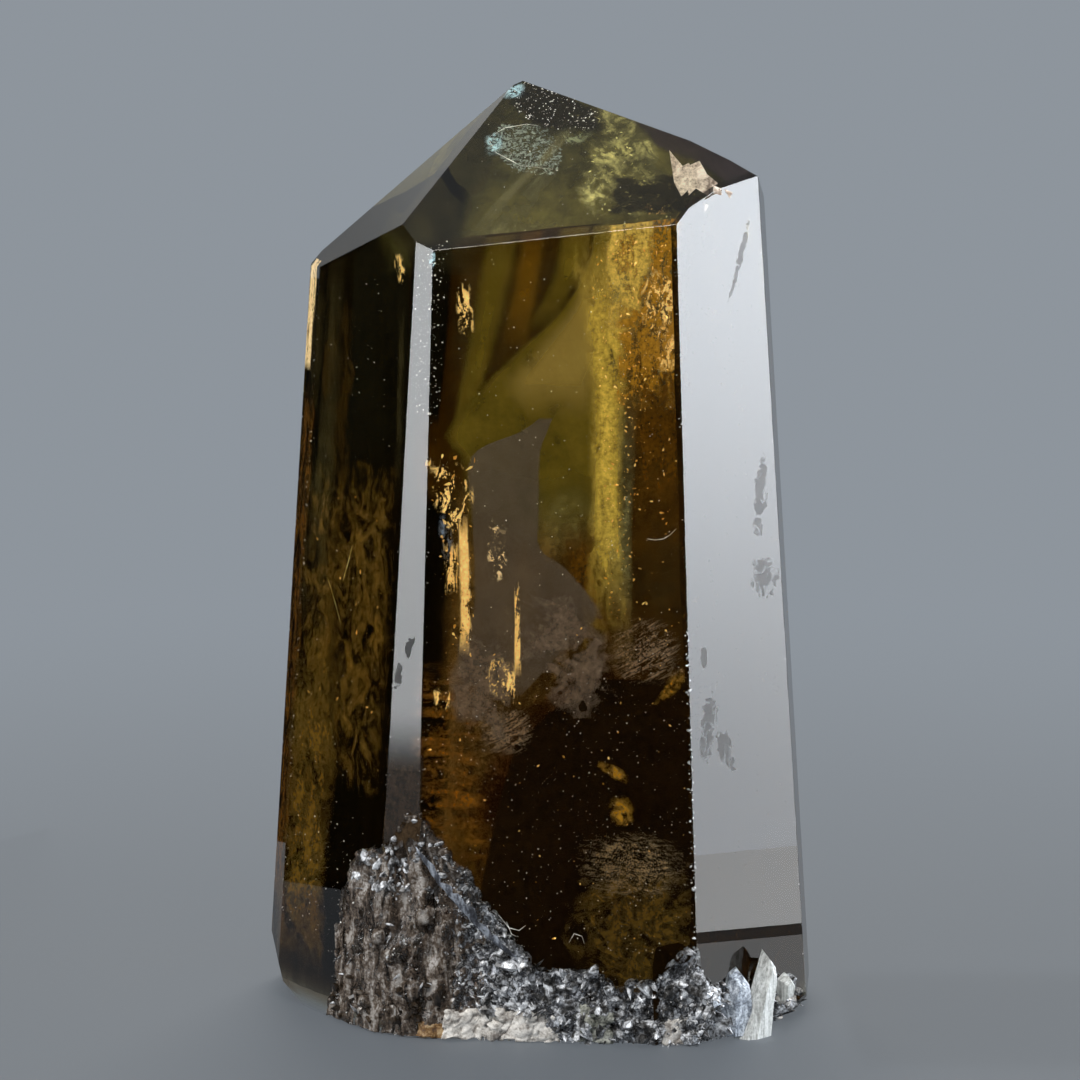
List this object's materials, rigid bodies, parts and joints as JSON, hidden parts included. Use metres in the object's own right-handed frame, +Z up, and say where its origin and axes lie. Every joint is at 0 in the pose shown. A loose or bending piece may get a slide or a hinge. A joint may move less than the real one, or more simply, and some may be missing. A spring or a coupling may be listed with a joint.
{
  "type": "citrine crystal point",
  "caption": "Free-standing smoky citrine tower with polished facets, an off-centre point, golden inclusions and a natural druse-covered foot.",
  "frame": {"origin": "centre of the footprint box, on the flat base the crystal stands on", "axes": "+Z up along the crystal towards its point, -Y out of the broad front facet, +X to the right seen from the front"},
  "size_m": [0.0896, 0.0694, 0.1497],
  "materials": {
    "smoky_citrine": "hand-polished clear quartz, brown to olive-gold, natural druse at the foot"
  },
  "bodies": {
    "root": {"crystal_point": "smoky_citrine"}
  },
  "joints": []
}
